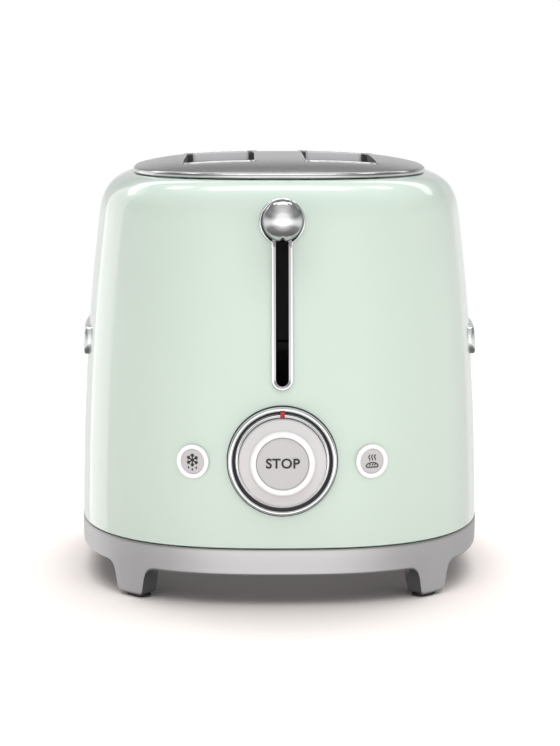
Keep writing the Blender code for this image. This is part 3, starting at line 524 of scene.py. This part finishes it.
def make_skirt():
    centres = foot_centres()
    places = set(round(step * RIM_LENGTH / 230, 6) for step in range(230))
    for centre in centres:
        places -= {place for place in places if abs(place - centre) < EDGE_DISTANCES[-1]}
        for distance in EDGE_DISTANCES:
            places |= {round(centre + distance, 6), round(centre - distance, 6)}
        flat = FOOT_HALF_LENGTH - FOOT_CORNER
        places |= {round(centre + flat * step / 4, 6) for step in range(-3, 4)}
    places = sorted(places)
    columns = []
    for place in places:
        angle = float(np.interp(place, RIM_DISTANCES, RIM_ANGLES))
        away = min(abs(place - centre) for centre in centres)
        low_z = float(np.interp(away, EDGE_DISTANCES, EDGE_HEIGHTS))
        foot = (SKIRT_BOTTOM_Z - low_z) / (SKIRT_BOTTOM_Z - FOOT_BOTTOM_Z)
        depth = 0.0032 + (FOOT_DEPTH - 0.0032) * min(1.0, foot * 2.5)
        draft = 0.0008 * foot
        section = [(0.0019, SKIRT_TOP_Z), (0.0007, SKIRT_TOP_Z), (0.00035, SKIRT_TOP_Z - 0.00012)]
        section += [(0.0001, SKIRT_TOP_Z - 0.0004), (0.0, SKIRT_TOP_Z - 0.0009), (0.0, 0.0235)]
        section.append((0.0001, 0.0205))
        lower = 0.0186
        for step in range(1, 9):
            share = step / 8
            height = lower + (low_z + 0.0011 - lower) * share
            section.append((0.0002 + 0.0001 * share + draft * share, height))
        edge = 0.0003 + draft
        for step in range(1, 6):
            turn = math.radians(90.0 * step / 5)
            section.append((edge + 0.0011 * (1 - math.cos(turn)), low_z + 0.0011 * (1 - math.sin(turn))))
        section += [(depth - 0.0009, low_z), (depth - 0.0002, low_z + 0.0002)]
        section.append((depth, low_z + 0.0008 * foot + 0.0004))
        section += [(depth + 0.0001, SKIRT_BOTTOM_Z + 0.0004), (0.024, SKIRT_BOTTOM_Z + 0.0004)]
        section += [(0.024, 0.0166), (0.0032, 0.0166), (0.0019, 0.0185)]
        column = []
        for inset, height in section:
            x, y = outline_point(HALF_WIDTH - inset, HALF_LENGTH - END_LEAN * inset, angle)
            column.append((x, y + MIDDLE_Y, height))
        columns.append(column)
    mesh = loft("steel_base_skirt", columns, wrap=True)
    skirt = make_object("steel_base_skirt", mesh, satin_skirt, sharp=45.0)
    skirt.data.materials.append(painted_shade_steel)
    # Faces of the skirt's inner return and the feet's inner sides get painted shade: the dark steel stands
    # for the shadow under the toaster
    for face in skirt.data.polygons:
        x, y = face.center.x, face.center.y - MIDDLE_Y
        outward = Vector((x / HALF_WIDTH ** 2, y / HALF_LENGTH ** 2, 0.0)).normalized()
        if face.center.z < SKIRT_TOP_Z - 0.002 and face.normal.dot(outward) < 0.25:
            face.material_index = 1
    door_low, door_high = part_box("crumb_tray_handle")
    low = Vector((door_low.x - 0.0005, 0.100, door_low.z - 0.0003))
    high = Vector((door_high.x + 0.0005, 0.170, 0.040))
    loops = []
    for z in (low.z, high.z):
        loops.append([(low.x, low.y, z), (high.x, low.y, z), (high.x, high.y, z), (low.x, high.y, z)])
    cut(skirt, [hidden_cutter("door_cut", loft("door_cut", loops))])
    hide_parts("base_skirt")
    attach(skirt, "chassis")


# ---------------------------------------------------------------- lever bezel and ball
BEZEL_RING_Z, BEZEL_RING_RADIUS, BEZEL_HALF_WIDTH, BEZEL_BOTTOM_Z = 0.1763, 0.0107, 0.0051, 0.0997
BEZEL_SECTION = ((0.0, 0.0002), (0.0, 0.0009), (0.10, 0.0014), (0.24, 0.0017), (0.45, 0.0017), (0.70, 0.0013),
                 (0.92, 0.0009), (1.0, 0.0005), (1.0, -0.0006))


def keyhole_loops():
    """Outer outline of the lever bezel and the slit inside it, as (x, z) loops with matching points."""
    side_steps, bottom_steps, ring_steps, top_steps = 26, 20, 44, 20
    foot_z = BEZEL_BOTTOM_Z + BEZEL_HALF_WIDTH
    neck = math.degrees(math.asin(BEZEL_HALF_WIDTH / BEZEL_RING_RADIUS))
    neck_z = BEZEL_RING_Z - BEZEL_RING_RADIUS * math.cos(math.radians(neck))
    outer = arc((0.0, foot_z), BEZEL_HALF_WIDTH, 180.0, 360.0, bottom_steps)
    rise = [foot_z + (neck_z - foot_z) * step / side_steps for step in range(1, side_steps)]
    outer += [(BEZEL_HALF_WIDTH, z) for z in rise]
    outer += arc((0.0, BEZEL_RING_Z), BEZEL_RING_RADIUS, -90.0 + neck, 270.0 - neck, ring_steps)
    outer += [(-BEZEL_HALF_WIDTH, z) for z in rise[::-1]]
    low_z, high_z = SLIT_BOTTOM_Z + SLIT_HALF_WIDTH, SLIT_TOP_Z - SLIT_HALF_WIDTH
    inner = arc((0.0, low_z), SLIT_HALF_WIDTH, 180.0, 360.0, bottom_steps)
    rise = [low_z + (neck_z - low_z) * step / side_steps for step in range(1, side_steps)]
    inner += [(SLIT_HALF_WIDTH, z) for z in rise]
    flank = (ring_steps - top_steps) // 2
    climb = [neck_z + (high_z - neck_z) * step / flank for step in range(flank)]
    inner += [(SLIT_HALF_WIDTH, z) for z in climb]
    inner += arc((0.0, high_z), SLIT_HALF_WIDTH, 0.0, 180.0, top_steps)
    inner += [(-SLIT_HALF_WIDTH, z) for z in climb[::-1]]
    inner += [(-SLIT_HALF_WIDTH, z) for z in rise[::-1]]
    return outer, inner


def make_lever():
    outer, inner = keyhole_loops()
    rings = []
    for share, stand in BEZEL_SECTION:
        ring = []
        for (outer_x, outer_z), (inner_x, inner_z) in zip(outer, inner):
            width = math.hypot(outer_x - inner_x, outer_z - inner_z)
            part = min(share * 0.0021, share * width) / width if share < 1.0 else 1.0
            x, z = outer_x + (inner_x - outer_x) * part, outer_z + (inner_z - outer_z) * part
            ring.append((x, MIDDLE_Y - end_distance(x, z) - stand, z))
        rings.append(ring)
    bezel = make_object("keyhole_bezel", loft("keyhole_bezel", rings, wrap=True), chrome, sharp=60.0)
    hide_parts("lever_bezel")
    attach(bezel, "chassis")
    facing = Matrix.Translation(BALL_CENTRE) @ Matrix.Rotation(math.radians(90.0), 4, "X")
    profile = []
    for step in range(49):
        angle = math.radians(0.4 + (162.0 - 0.4) * step / 48)
        profile.append((BALL_RADIUS * math.sin(angle), BALL_RADIUS * math.cos(angle)))
    neck = profile[-1]
    profile += [(neck[0], neck[1] - 0.0010), (neck[0] - 0.0004, neck[1] - 0.0014)]
    ball = turned("lever_ball", profile, facing, ball_chrome, count=96, sharp=60.0)
    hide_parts("lever_knob")
    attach(ball, "lever")


# ---------------------------------------------------------------- dial
KNOB_RADIUS = 0.0200


def make_dial():
    seat = end_distance(0.0, DIAL_Z - 0.0250)
    facing = Matrix.Rotation(math.radians(90.0), 4, "X")
    place = Matrix.Translation((0.0, MIDDLE_Y - seat, DIAL_Z)) @ facing
    count = 128
    section = [(0.0249, None), (0.0249, 0.0010), (0.0248, 0.0017), (0.0245, 0.0023), (0.0240, 0.0026)]
    section += [(0.0235, 0.0026), (0.0231, 0.0023), (0.0229, 0.0017), (0.0228, 0.0008), (0.0228, None)]
    rings = []
    for radius, stand in section:
        ring = []
        for step in range(count):
            angle = 2.0 * math.pi * step / count
            x, z = radius * math.cos(angle), DIAL_Z + radius * math.sin(angle)
            distance = end_distance(x, z) + 0.0001 if stand is None else seat + stand - 0.0001
            ring.append((x, MIDDLE_Y - distance, z))
        rings.append(ring)
    bezel = make_object("dial_outer_ring", loft("dial_outer_ring", rings, wrap=True), chrome, sharp=60.0)
    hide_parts("dial_bezel")
    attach(bezel, "chassis")
    # Black ring on the front wall round the dial: painted shade in the gap round the bezel's outer edge and
    # in the groove between the bezel and the inner ring
    well = [(0.0254, None), (0.0254, 0.0004), (0.0250, 0.0005), (0.0229, 0.0006), (0.0216, 0.0005)]
    well.append((0.0216, None))
    rings = []
    for radius, stand in well:
        ring = []
        for step in range(count):
            angle = 2.0 * math.pi * step / count
            x, z = radius * math.cos(angle), DIAL_Z + radius * math.sin(angle)
            wall = end_distance(x, z)
            ring.append((x, MIDDLE_Y - (wall + 0.0001 if stand is None else wall + stand), z))
        rings.append(ring)
    painted_shadow_ring = make_object("dial_painted_shadow_ring", loft("dial_painted_shadow_ring", rings, wrap=True), black_plastic)
    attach(painted_shadow_ring, "chassis")
    collar = rounded_path([(0.0202, 0.0005, 0), (0.0214, 0.0005, 0), (0.0214, 0.0014, 0.0002),
                           (0.0203, 0.0023, 0.0003), (0.0202, 0.0006, 0)], 5)
    inner_ring = turned("dial_inner_ring", collar, place, chrome, count, wrap=True, sharp=60.0)
    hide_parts("dial_collar")
    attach(inner_ring, "dial")
    knob_path = [(0.0027, 0.0004, 0), (0.0197, 0.0004, 0), (KNOB_RADIUS, 0.0010, 0)]
    knob_path += [(KNOB_RADIUS, 0.0072, 0.0014), (0.0150, 0.0083, 0.0012), (0.0139, 0.0106, 0.0010)]
    knob_path += [(0.0122, 0.0106, 0.0010), (0.0119, 0.0090, 0.0), (0.0119, 0.0048, 0), (0.0027, 0.0048, 0)]
    knob = turned("dial_grip", rounded_path(knob_path, 9), place, knob_white, count, wrap=True, sharp=60.0)
    # Painted highlight: the knob's raised rim gets a brighter copy of its own white plastic
    knob.data.materials.append(ring_white_and_highlight)
    for face in knob.data.polygons:
        middle = place.inverted() @ face.center
        if middle.z > 0.0089 and math.hypot(middle.x, middle.y) > 0.0119:
            face.material_index = 1
    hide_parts("dial_knob")
    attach(knob, "dial")
    button_path = [(0.0023, -0.0224, 0), (0.0023, 0.0070, 0), (0.0118, 0.0070, 0), (0.0118, 0.0093, 0.0003)]
    button_path += [(0.0020, 0.0095, 0.0), (0.0004, 0.0095, 0.0)]
    button = turned("stop_cap", rounded_path(button_path, 6), place, button_grey, 96, sharp=50.0)
    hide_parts("stop_button")
    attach(button, "stop")
    label = bpy.data.curves.new("stop_label", "FONT")
    label.body = "STOP"
    label.align_x, label.align_y = "CENTER", "CENTER"
    label.size = 0.0062
    label.space_character = 1.06
    label.extrude = 0.00003
    label.offset = 0.00016
    words = bpy.data.objects.new("stop_label", label)
    bpy.context.collection.objects.link(words)
    label.materials.append(ink_black)
    words.matrix_world = place @ Matrix.Translation((0.0, 0.0, 0.00955))
    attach(words, "stop")
    mark = [(-0.00105, 0.0202), (0.00105, 0.0202), (0.00105, 0.0226), (0.0, 0.0233), (-0.00105, 0.0226)]
    rings = [[place @ Vector((x, y, height)) for x, y in mark] for height in (0.0021, 0.0029)]
    pointer = make_object("index_mark", loft("index_mark", rings), pointer_red, smooth=False)
    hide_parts("dial_pointer")
    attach(pointer, "dial")


# ---------------------------------------------------------------- function buttons and their signs
SIGN_LIFT = 0.00108


def sign_piece(name, polygons, place, height, body):
    """Flat black sign made of closed 2D polygons."""
    points, faces = [], []
    for polygon in polygons:
        start = len(points)
        count = len(polygon)
        for depth in (0.0, 0.00005):
            points += [place @ Vector((x, y, height + depth)) for x, y in polygon]
        faces.append(tuple(range(start, start + count)))
        faces.append(tuple(range(start + count, start + 2 * count)))
        for step in range(count):
            after = (step + 1) % count
            faces.append((start + step, start + after, start + count + after, start + count + step))
    sign = make_object(name, mesh_from(name, points, faces), ink_black, smooth=False)
    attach(sign, body)


def bar(start, end, width):
    """Four corners of a straight stroke."""
    start, end = Vector(start), Vector(end)
    along = (end - start).normalized() * width / 2.0
    across = Vector((-along.y, along.x))
    return [tuple(start - across), tuple(end - across), tuple(end + across), tuple(start + across)]


def snowflake(radius, width, centre_y):
    """Six arms with two pairs of twigs each, and three drops under them."""
    centre = Vector((0.0, centre_y))
    strokes = []
    for arm in range(6):
        angle = math.radians(60.0 * arm + 30.0)
        out = Vector((math.cos(angle), math.sin(angle)))
        strokes.append(bar(centre, centre + out * radius, width))
        for turn in (-1, 1):
            lean = angle + turn * math.radians(50.0)
            twig = Vector((math.cos(lean), math.sin(lean)))
            for share, reach in ((0.52, 0.40), (0.80, 0.24)):
                root = centre + out * radius * share
                strokes.append(bar(root, root + twig * radius * reach, width * 0.8))
    for x, y in ((-0.0019, -0.0028), (0.0, -0.0037), (0.0019, -0.0028)):
        strokes.append([(x, y + 0.0007)] + arc((x, y), 0.00042, -200.0, 20.0, 12))
    return strokes


def loaf_and_steam(width):
    """An outlined loaf with slanting cuts, and three wavy strokes over it."""
    half, base_z, rise = 0.0030, -0.0027, 0.0017
    side_z = base_z + 0.0004
    outline = [(-half, side_z), (-half + 0.0005, base_z), (half - 0.0005, base_z), (half, side_z)]
    outline += [(half * math.cos(math.radians(angle)), side_z + rise * math.sin(math.radians(angle)))
                for angle in range(12, 180, 12)]
    shapes = [bar(start, end, width) for start, end in zip(outline, outline[1:] + outline[:1])]
    for x in (-0.0011, 0.0002, 0.0014):
        shapes.append(bar((x - 0.0003, base_z + 0.0007), (x + 0.0003, base_z + 0.0016), width))
    for place in (-0.0014, 0.0, 0.0014):
        for step in range(10):
            low, high = 0.0004 + 0.0027 * step / 10, 0.0004 + 0.0027 * (step + 1) / 10
            sway = [0.00030 * math.sin(2.0 * math.pi * (z - 0.0004) / 0.0021) for z in (low, high)]
            shapes.append(bar((place + sway[0], low), (place + sway[1], high), width))
    return shapes


def make_buttons():
    for side, label in ((-1, "defrost"), (1, "reheat")):
        place = front_frame(side * BUTTON_X, BUTTON_Z)
        ring_path = [(0.0057, 0.0002, 0), (0.0078, 0.0002, 0), (0.0078, 0.0014, 0.0006)]
        ring_path += [(0.0057, 0.0014, 0.0006), (0.0057, 0.0003, 0)]
        ring = turned(label + "_ring", rounded_path(ring_path, 7), place, ring_white_and_highlight, 72, True)
        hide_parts(label + "_bezel")
        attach(ring, "chassis")
        cap_path = [(0.0020, -0.0110, 0), (0.0020, -0.0040, 0), (0.0056, -0.0040, 0)]
        cap_path += [(0.0056, 0.0009, 0.0002), (0.0010, 0.0011, 0), (0.0003, 0.0011, 0)]
        cap = turned(label + "_cap", rounded_path(cap_path, 6), place, button_grey, 64)
        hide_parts(label + "_button")
        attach(cap, label)
    left, right = front_frame(-BUTTON_X, BUTTON_Z), front_frame(BUTTON_X, BUTTON_Z)
    sign_piece("defrost_sign", snowflake(0.0029, 0.00062, 0.0007), left, SIGN_LIFT, "defrost")
    sign_piece("reheat_sign", loaf_and_steam(0.00052), right, SIGN_LIFT, "reheat")


# ---------------------------------------------------------------- plain bars on the long sides
def make_side_bars():
    half_y, half_z, middle_z, stations = 0.0500, 0.0070, 0.1135, 60
    section = [(-1.0, -0.0004), (1.0, -0.0004), (1.0, 0.0012), (0.97, 0.0018), (0.88, 0.0023), (0.72, 0.0026)]
    section += [(0.0, 0.0027), (-0.72, 0.0026), (-0.88, 0.0023), (-0.97, 0.0018), (-1.0, 0.0012)]
    for side, label in ((-1, "left"), (1, "right")):
        rings = []
        for station in range(stations + 1):
            y = -half_y * math.cos(math.pi * station / stations)
            run = max(0.0, abs(y) - (half_y - half_z)) / half_z
            tall = half_z * math.sqrt(max(1.0 - run ** 2, 0.0004))
            low = min(1.0, tall / half_z * 1.3)
            ring = []
            for share, stand in section:
                z = middle_z + share * tall
                stand = stand * low if stand > 0 else stand
                ring.append((side * (side_distance(y, z) + stand), y + MIDDLE_Y, z))
            rings.append(ring)
        name = "plain_bar_" + label
        trim = make_object(name, loft(name, rings), chrome, sharp=60.0)
        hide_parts("side_trim_" + label)
        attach(trim, "chassis")


# ---------------------------------------------------------------- materials of the carried-over nodes
def paint_nodes():
    wires = ["return_spring"] + [name for name in frame["nodes"] if name.startswith("bread_guard")]
    choices = {"rubber": rubber, "inner_steel": sheet_steel, "wire_steel": wire_steel, "mica": mica,
               "black_plastic": black_plastic, "circuit_board": circuit_green, "skirt_steel": satin_skirt,
               "chrome": chrome, "paint": paint, "plate_steel": brushed_plate, "knob_white": knob_white,
               "button_grey": button_grey, "pointer_red": pointer_red}
    slots = {entry["node"]: entry["material_slot"] for entry in frame["record"]["subparts"]}
    for name, node in frame["nodes"].items():
        looks = choices[slots[name]]
        looks = wire_steel if name in wires else looks
        # The carriage plate, latch keeper and front end plate are seen through the lever slit: black here is
        # painted shade inside the slit
        looks = black_plastic if name in ("carriage_plate", "latch_keeper", "front_end_plate") else looks
        node.data.materials.clear()
        node.data.materials.append(looks)


# ---------------------------------------------------------------- stage, light and camera
def softbox(name, place, target, size_x, size_y, power):
    data = bpy.data.lights.new(name, "AREA")
    data.shape = "RECTANGLE"
    data.size, data.size_y = size_x, size_y
    data.energy = power
    lamp = bpy.data.objects.new(name, data)
    bpy.context.collection.objects.link(lamp)
    lamp.location = place
    lamp.rotation_euler = (Vector(target) - Vector(place)).to_track_quat("-Z", "Y").to_euler()
    lamp.visible_camera = False
    return lamp


def make_stage():
    """Pale floor. It is left out of mirror reflections, so the steel base doesn't show it."""
    looks = bpy.data.materials.new("white_floor")
    looks.use_nodes = True
    shader = looks.node_tree.nodes["Principled BSDF"]
    shader.inputs["Base Color"].default_value = (0.93, 0.87, 0.845, 1.0)
    shader.inputs["Roughness"].default_value = 0.9
    shader.inputs["Specular IOR Level"].default_value = 0.1
    mesh = bpy.data.meshes.new("floor")
    corners = [(-3.0, -2.5, 0.0), (3.0, -2.5, 0.0), (3.0, 1.3, 0.0), (-3.0, 1.3, 0.0)]
    mesh.from_pydata(corners, [], [(0, 1, 2, 3)])
    mesh.materials.append(looks)
    floor = bpy.data.objects.new("floor", mesh)
    bpy.context.collection.objects.link(floor)
    floor.visible_glossy = False


def ramp(tree, source, stops):
    """Smooth ramp of grey levels driven by a value from 0 to 1."""
    node = tree.nodes.new("ShaderNodeValToRGB")
    node.color_ramp.interpolation = "EASE"
    elements = node.color_ramp.elements
    for place, level in stops[2:]:
        elements.new(place)
    for element, (place, level) in zip(elements, sorted(stops)):
        element.position = place
        element.color = (level, level, level, 1.0)
    tree.links.new(source, node.inputs["Fac"])
    return node.outputs["Color"]


def combine(tree, operation, first, second):
    node = tree.nodes.new("ShaderNodeMath")
    node.operation = operation
    for socket, value in zip(node.inputs, (first, second)):
        if isinstance(value, (int, float)):
            socket.default_value = value
        else:
            tree.links.new(value, socket)
    return node.outputs["Value"]


# Grey levels of the studio by height, by distance to the side, and by closeness to the camera's side
WORLD_LAYERS = [(0.0, 0.15), (0.25, 0.25), (0.40, 0.86), (0.48, 0.86), (0.54, 0.58), (0.64, 0.22),
                (0.85, 0.30), (1.0, 0.60)]
WORLD_CORNERS = [(0.0, 1.0), (0.38, 1.0), (0.48, 0.78), (0.62, 0.78), (0.85, 1.0)]
WORLD_LOBE = [(0.0, 0.0), (0.30, 0.03), (0.60, 0.30), (0.88, 0.90), (1.0, 1.0)]
WORLD_LOBE_STRENGTH = 0.90


def make_world():
    """Soft grey studio: a broad light on the front side, dim corners behind the object, a pale horizon.

    It lights the object and shows in its reflections. What is seen directly behind the object is plain white.
    """
    world = bpy.data.worlds.new("studio")
    bpy.context.scene.world = world
    world.use_nodes = True
    tree = world.node_tree
    nodes, links = tree.nodes, tree.links
    nodes.clear()
    output = nodes.new("ShaderNodeOutputWorld")
    path = nodes.new("ShaderNodeLightPath")
    place = nodes.new("ShaderNodeTexCoord")
    parts = nodes.new("ShaderNodeSeparateXYZ")
    links.new(place.outputs["Generated"], parts.inputs["Vector"])
    height = combine(tree, "MULTIPLY_ADD", parts.outputs["Z"], 0.5)
    height.node.inputs[2].default_value = 0.5
    layers = ramp(tree, height, WORLD_LAYERS)
    sideways = combine(tree, "ABSOLUTE", parts.outputs["X"], 0.0)
    corners = ramp(tree, sideways, WORLD_CORNERS)
    behind_mask = combine(tree, "GREATER_THAN", parts.outputs["Y"], 0.0)
    dim = combine(tree, "MULTIPLY", combine(tree, "SUBTRACT", 1.0, corners), behind_mask)
    base = combine(tree, "MULTIPLY", layers, combine(tree, "SUBTRACT", 1.0, dim))
    facing = nodes.new("ShaderNodeVectorMath")
    facing.operation = "DOT_PRODUCT"
    links.new(place.outputs["Generated"], facing.inputs[0])
    facing.inputs[1].default_value = Vector((0.0, -1.0, 0.12)).normalized()
    lobe = combine(tree, "MULTIPLY", ramp(tree, facing.outputs["Value"], WORLD_LOBE), WORLD_LOBE_STRENGTH)
    around = nodes.new("ShaderNodeBackground")
    around.inputs["Color"].default_value = (1.0, 1.0, 1.0, 1.0)
    links.new(combine(tree, "ADD", base, lobe), around.inputs["Strength"])
    behind = nodes.new("ShaderNodeBackground")
    behind.inputs["Color"].default_value = (1.0, 1.0, 1.0, 1.0)
    behind.inputs["Strength"].default_value = 1.0
    mix = nodes.new("ShaderNodeMixShader")
    links.new(path.outputs["Is Camera Ray"], mix.inputs["Fac"])
    links.new(around.outputs["Background"], mix.inputs[1])
    links.new(behind.outputs["Background"], mix.inputs[2])
    links.new(mix.outputs["Shader"], output.inputs["Surface"])


def polar(azimuth, elevation, distance):
    """Place seen from the object's middle; azimuth runs from the camera's side (-Y) towards -X."""
    turn, climb = math.radians(azimuth), math.radians(elevation)
    flat = distance * math.cos(climb)
    return (-flat * math.sin(turn), MIDDLE_Y - flat * math.cos(turn), 0.10 + distance * math.sin(climb))


# name, azimuth, elevation, distance, width, height, radiance, whether shiny parts show it
SOFTBOXES = [
    ("top_fill", 180.0, 62.0, 2.2, 2.9, 1.6, 3.0, False),
    ("right_fill", -85.0, 35.0, 2.2, 1.6, 1.6, 0.9, False),
    ("left_fill", 85.0, 35.0, 2.2, 1.2, 1.2, 0.3, False),
    ("front_fill", 0.0, 50.0, 2.2, 2.0, 1.0, 1.9, False),
    ("top_card", 180.0, 68.0, 2.2, 1.1, 0.6, 4.0, True),
    ("band_card", 180.0, 31.0, 2.2, 3.4, 0.32, 1.35, True),
    ("left_glint", 148.0, 50.0, 2.2, 0.30, 0.30, 5.0, True),
    ("right_glint", -148.0, 50.0, 2.2, 0.30, 0.30, 5.0, True),
    ("left_strip", 142.0, 4.0, 2.2, 1.04, 2.6, 0.62, True),
]


def make_lights():
    """Cards are seen in the shiny parts; fills only light the surfaces."""
    middle = (0.0, MIDDLE_Y, 0.10)
    for name, azimuth, elevation, distance, size_x, size_y, radiance, seen in SOFTBOXES:
        power = radiance * math.pi * size_x * size_y
        lamp = softbox(name, polar(azimuth, elevation, distance), middle, size_x, size_y, power)
        lamp.visible_glossy = seen


def make_camera():
    """The place, turn and lens were fitted to the photograph's view."""
    data = bpy.data.cameras.new("camera")
    data.sensor_width = 36.0
    data.lens = 142.65
    data.clip_start = 0.05
    camera = bpy.data.objects.new("camera", data)
    bpy.context.collection.objects.link(camera)
    camera.location = (-0.0177, -1.4716, 0.2539)
    camera.rotation_euler = (math.radians(90.0 - 6.236), 0.0, math.radians(-0.713))
    bpy.context.scene.camera = camera


make_body()
make_top_plate()
make_slot_collars()
make_skirt()
make_lever()
make_dial()
make_buttons()
make_side_bars()
paint_nodes()
make_stage()
make_world()
make_lights()
make_camera()
bpy.context.scene.view_settings.view_transform = "Standard"
